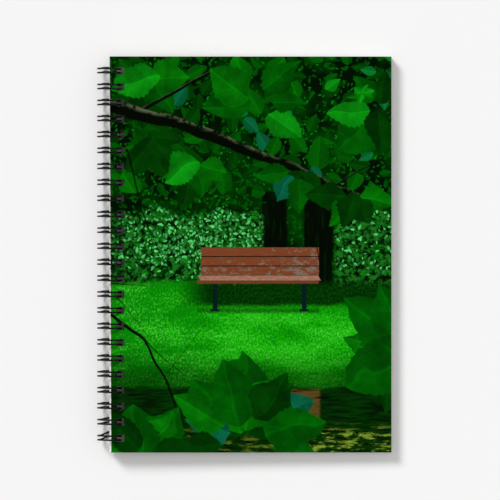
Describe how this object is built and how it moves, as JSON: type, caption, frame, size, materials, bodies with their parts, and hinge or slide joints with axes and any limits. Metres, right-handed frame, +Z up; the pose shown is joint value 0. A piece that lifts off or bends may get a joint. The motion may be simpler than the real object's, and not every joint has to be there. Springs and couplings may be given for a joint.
{
  "type": "wire-bound sketchbook",
  "caption": "A5 portrait sketchbook: printed card cover with a garden picture, loose drawing sheets and a greyboard back on one black twin-loop wire along the left edge.",
  "frame": {"origin": "middle of the closed book's footprint, on the table it lies on", "axes": "+Z up out of the front cover, +Y along the spine towards the head of the book, -X towards the binding wire"},
  "size_m": [0.1562, 0.21, 0.0132],
  "materials": {
    "printed_cover": "satin laminate over a printed picture",
    "drawing_paper": "matte uncoated",
    "greyboard": "matte board",
    "coated_wire": "black nylon coating, semi-gloss"
  },
  "bodies": {
    "bound_back": {"backing_board": "greyboard", "binding_wire": "coated_wire"},
    "front_cover": {"front_cover": "printed_cover"},
    "sheet_01": {"sheet_01": "drawing_paper"},
    "sheet_02": {"sheet_02": "drawing_paper"},
    "sheet_03": {"sheet_03": "drawing_paper"},
    "sheet_04": {"sheet_04": "drawing_paper"},
    "sheet_05": {"sheet_05": "drawing_paper"},
    "sheet_06": {"sheet_06": "drawing_paper"},
    "sheet_07": {"sheet_07": "drawing_paper"},
    "sheet_08": {"sheet_08": "drawing_paper"},
    "sheet_09": {"sheet_09": "drawing_paper"},
    "sheet_10": {"sheet_10": "drawing_paper"},
    "sheet_11": {"sheet_11": "drawing_paper"},
    "sheet_12": {"sheet_12": "drawing_paper"},
    "sheet_13": {"sheet_13": "drawing_paper"},
    "sheet_14": {"sheet_14": "drawing_paper"},
    "sheet_15": {"sheet_15": "drawing_paper"},
    "sheet_16": {"sheet_16": "drawing_paper"},
    "sheet_17": {"sheet_17": "drawing_paper"},
    "sheet_18": {"sheet_18": "drawing_paper"},
    "sheet_19": {"sheet_19": "drawing_paper"},
    "sheet_20": {"sheet_20": "drawing_paper"},
    "sheet_21": {"sheet_21": "drawing_paper"},
    "sheet_22": {"sheet_22": "drawing_paper"},
    "sheet_23": {"sheet_23": "drawing_paper"},
    "sheet_24": {"sheet_24": "drawing_paper"},
    "sheet_25": {"sheet_25": "drawing_paper"},
    "sheet_26": {"sheet_26": "drawing_paper"},
    "sheet_27": {"sheet_27": "drawing_paper"},
    "sheet_28": {"sheet_28": "drawing_paper"},
    "sheet_29": {"sheet_29": "drawing_paper"},
    "sheet_30": {"sheet_30": "drawing_paper"},
    "sheet_31": {"sheet_31": "drawing_paper"},
    "sheet_32": {"sheet_32": "drawing_paper"}
  },
  "joints": [
    {"name": "front_cover_turn", "type": "hinge", "parent": "bound_back", "child": "front_cover", "pos_m": [-0.0715, 0, 0.0066], "axis": [0, -1, 0], "range_deg": [0, 182]},
    {"name": "sheet_01_turn", "type": "hinge", "parent": "bound_back", "child": "sheet_01", "pos_m": [-0.0715, 0, 0.0066], "axis": [0, -1, 0], "range_deg": [0, 182]},
    {"name": "sheet_02_turn", "type": "hinge", "parent": "bound_back", "child": "sheet_02", "pos_m": [-0.0715, 0, 0.0066], "axis": [0, -1, 0], "range_deg": [0, 182]},
    {"name": "sheet_03_turn", "type": "hinge", "parent": "bound_back", "child": "sheet_03", "pos_m": [-0.0715, 0, 0.0066], "axis": [0, -1, 0], "range_deg": [0, 182]},
    {"name": "sheet_04_turn", "type": "hinge", "parent": "bound_back", "child": "sheet_04", "pos_m": [-0.0715, 0, 0.0066], "axis": [0, -1, 0], "range_deg": [0, 182]},
    {"name": "sheet_05_turn", "type": "hinge", "parent": "bound_back", "child": "sheet_05", "pos_m": [-0.0715, 0, 0.0066], "axis": [0, -1, 0], "range_deg": [0, 182]},
    {"name": "sheet_06_turn", "type": "hinge", "parent": "bound_back", "child": "sheet_06", "pos_m": [-0.0715, 0, 0.0066], "axis": [0, -1, 0], "range_deg": [0, 182]},
    {"name": "sheet_07_turn", "type": "hinge", "parent": "bound_back", "child": "sheet_07", "pos_m": [-0.0715, 0, 0.0066], "axis": [0, -1, 0], "range_deg": [0, 182]},
    {"name": "sheet_08_turn", "type": "hinge", "parent": "bound_back", "child": "sheet_08", "pos_m": [-0.0715, 0, 0.0066], "axis": [0, -1, 0], "range_deg": [0, 182]},
    {"name": "sheet_09_turn", "type": "hinge", "parent": "bound_back", "child": "sheet_09", "pos_m": [-0.0715, 0, 0.0066], "axis": [0, -1, 0], "range_deg": [0, 182]},
    {"name": "sheet_10_turn", "type": "hinge", "parent": "bound_back", "child": "sheet_10", "pos_m": [-0.0715, 0, 0.0066], "axis": [0, -1, 0], "range_deg": [0, 182]},
    {"name": "sheet_11_turn", "type": "hinge", "parent": "bound_back", "child": "sheet_11", "pos_m": [-0.0715, 0, 0.0066], "axis": [0, -1, 0], "range_deg": [0, 182]},
    {"name": "sheet_12_turn", "type": "hinge", "parent": "bound_back", "child": "sheet_12", "pos_m": [-0.0715, 0, 0.0066], "axis": [0, -1, 0], "range_deg": [0, 182]},
    {"name": "sheet_13_turn", "type": "hinge", "parent": "bound_back", "child": "sheet_13", "pos_m": [-0.0715, 0, 0.0066], "axis": [0, -1, 0], "range_deg": [0, 182]},
    {"name": "sheet_14_turn", "type": "hinge", "parent": "bound_back", "child": "sheet_14", "pos_m": [-0.0715, 0, 0.0066], "axis": [0, -1, 0], "range_deg": [0, 182]},
    {"name": "sheet_15_turn", "type": "hinge", "parent": "bound_back", "child": "sheet_15", "pos_m": [-0.0715, 0, 0.0066], "axis": [0, -1, 0], "range_deg": [0, 182]},
    {"name": "sheet_16_turn", "type": "hinge", "parent": "bound_back", "child": "sheet_16", "pos_m": [-0.0715, 0, 0.0066], "axis": [0, -1, 0], "range_deg": [0, 182]},
    {"name": "sheet_17_turn", "type": "hinge", "parent": "bound_back", "child": "sheet_17", "pos_m": [-0.0715, 0, 0.0066], "axis": [0, -1, 0], "range_deg": [0, 182]},
    {"name": "sheet_18_turn", "type": "hinge", "parent": "bound_back", "child": "sheet_18", "pos_m": [-0.0715, 0, 0.0066], "axis": [0, -1, 0], "range_deg": [0, 182]},
    {"name": "sheet_19_turn", "type": "hinge", "parent": "bound_back", "child": "sheet_19", "pos_m": [-0.0715, 0, 0.0066], "axis": [0, -1, 0], "range_deg": [0, 182]},
    {"name": "sheet_20_turn", "type": "hinge", "parent": "bound_back", "child": "sheet_20", "pos_m": [-0.0715, 0, 0.0066], "axis": [0, -1, 0], "range_deg": [0, 182]},
    {"name": "sheet_21_turn", "type": "hinge", "parent": "bound_back", "child": "sheet_21", "pos_m": [-0.0715, 0, 0.0066], "axis": [0, -1, 0], "range_deg": [0, 182]},
    {"name": "sheet_22_turn", "type": "hinge", "parent": "bound_back", "child": "sheet_22", "pos_m": [-0.0715, 0, 0.0066], "axis": [0, -1, 0], "range_deg": [0, 182]},
    {"name": "sheet_23_turn", "type": "hinge", "parent": "bound_back", "child": "sheet_23", "pos_m": [-0.0715, 0, 0.0066], "axis": [0, -1, 0], "range_deg": [0, 182]},
    {"name": "sheet_24_turn", "type": "hinge", "parent": "bound_back", "child": "sheet_24", "pos_m": [-0.0715, 0, 0.0066], "axis": [0, -1, 0], "range_deg": [0, 182]},
    {"name": "sheet_25_turn", "type": "hinge", "parent": "bound_back", "child": "sheet_25", "pos_m": [-0.0715, 0, 0.0066], "axis": [0, -1, 0], "range_deg": [0, 182]},
    {"name": "sheet_26_turn", "type": "hinge", "parent": "bound_back", "child": "sheet_26", "pos_m": [-0.0715, 0, 0.0066], "axis": [0, -1, 0], "range_deg": [0, 182]},
    {"name": "sheet_27_turn", "type": "hinge", "parent": "bound_back", "child": "sheet_27", "pos_m": [-0.0715, 0, 0.0066], "axis": [0, -1, 0], "range_deg": [0, 182]},
    {"name": "sheet_28_turn", "type": "hinge", "parent": "bound_back", "child": "sheet_28", "pos_m": [-0.0715, 0, 0.0066], "axis": [0, -1, 0], "range_deg": [0, 182]},
    {"name": "sheet_29_turn", "type": "hinge", "parent": "bound_back", "child": "sheet_29", "pos_m": [-0.0715, 0, 0.0066], "axis": [0, -1, 0], "range_deg": [0, 182]},
    {"name": "sheet_30_turn", "type": "hinge", "parent": "bound_back", "child": "sheet_30", "pos_m": [-0.0715, 0, 0.0066], "axis": [0, -1, 0], "range_deg": [0, 182]},
    {"name": "sheet_31_turn", "type": "hinge", "parent": "bound_back", "child": "sheet_31", "pos_m": [-0.0715, 0, 0.0066], "axis": [0, -1, 0], "range_deg": [0, 182]},
    {"name": "sheet_32_turn", "type": "hinge", "parent": "bound_back", "child": "sheet_32", "pos_m": [-0.0715, 0, 0.0066], "axis": [0, -1, 0], "range_deg": [0, 182]}
  ],
  "couplings": [
    {"joint": "sheet_01_turn", "follows": "front_cover_turn", "ratio": 0.9965},
    {"joint": "sheet_02_turn", "follows": "front_cover_turn", "ratio": 0.993},
    {"joint": "sheet_03_turn", "follows": "front_cover_turn", "ratio": 0.9895},
    {"joint": "sheet_04_turn", "follows": "front_cover_turn", "ratio": 0.986},
    {"joint": "sheet_05_turn", "follows": "front_cover_turn", "ratio": 0.9825},
    {"joint": "sheet_06_turn", "follows": "front_cover_turn", "ratio": 0.979},
    {"joint": "sheet_07_turn", "follows": "front_cover_turn", "ratio": 0.9755},
    {"joint": "sheet_08_turn", "follows": "front_cover_turn", "ratio": 0.972},
    {"joint": "sheet_09_turn", "follows": "front_cover_turn", "ratio": 0.9685},
    {"joint": "sheet_10_turn", "follows": "front_cover_turn", "ratio": 0.965},
    {"joint": "sheet_11_turn", "follows": "front_cover_turn", "ratio": 0.9615},
    {"joint": "sheet_12_turn", "follows": "front_cover_turn", "ratio": 0.958},
    {"joint": "sheet_13_turn", "follows": "front_cover_turn", "ratio": 0.9545},
    {"joint": "sheet_14_turn", "follows": "front_cover_turn", "ratio": 0.951},
    {"joint": "sheet_15_turn", "follows": "front_cover_turn", "ratio": 0.9475},
    {"joint": "sheet_16_turn", "follows": "front_cover_turn", "ratio": 0.944},
    {"joint": "sheet_17_turn", "follows": "front_cover_turn", "ratio": 0.056},
    {"joint": "sheet_18_turn", "follows": "front_cover_turn", "ratio": 0.0525},
    {"joint": "sheet_19_turn", "follows": "front_cover_turn", "ratio": 0.049},
    {"joint": "sheet_20_turn", "follows": "front_cover_turn", "ratio": 0.0455},
    {"joint": "sheet_21_turn", "follows": "front_cover_turn", "ratio": 0.042},
    {"joint": "sheet_22_turn", "follows": "front_cover_turn", "ratio": 0.0385},
    {"joint": "sheet_23_turn", "follows": "front_cover_turn", "ratio": 0.035},
    {"joint": "sheet_24_turn", "follows": "front_cover_turn", "ratio": 0.0315},
    {"joint": "sheet_25_turn", "follows": "front_cover_turn", "ratio": 0.028},
    {"joint": "sheet_26_turn", "follows": "front_cover_turn", "ratio": 0.0245},
    {"joint": "sheet_27_turn", "follows": "front_cover_turn", "ratio": 0.021},
    {"joint": "sheet_28_turn", "follows": "front_cover_turn", "ratio": 0.0175},
    {"joint": "sheet_29_turn", "follows": "front_cover_turn", "ratio": 0.014},
    {"joint": "sheet_30_turn", "follows": "front_cover_turn", "ratio": 0.0105},
    {"joint": "sheet_31_turn", "follows": "front_cover_turn", "ratio": 0.007},
    {"joint": "sheet_32_turn", "follows": "front_cover_turn", "ratio": 0.0035}
  ]
}
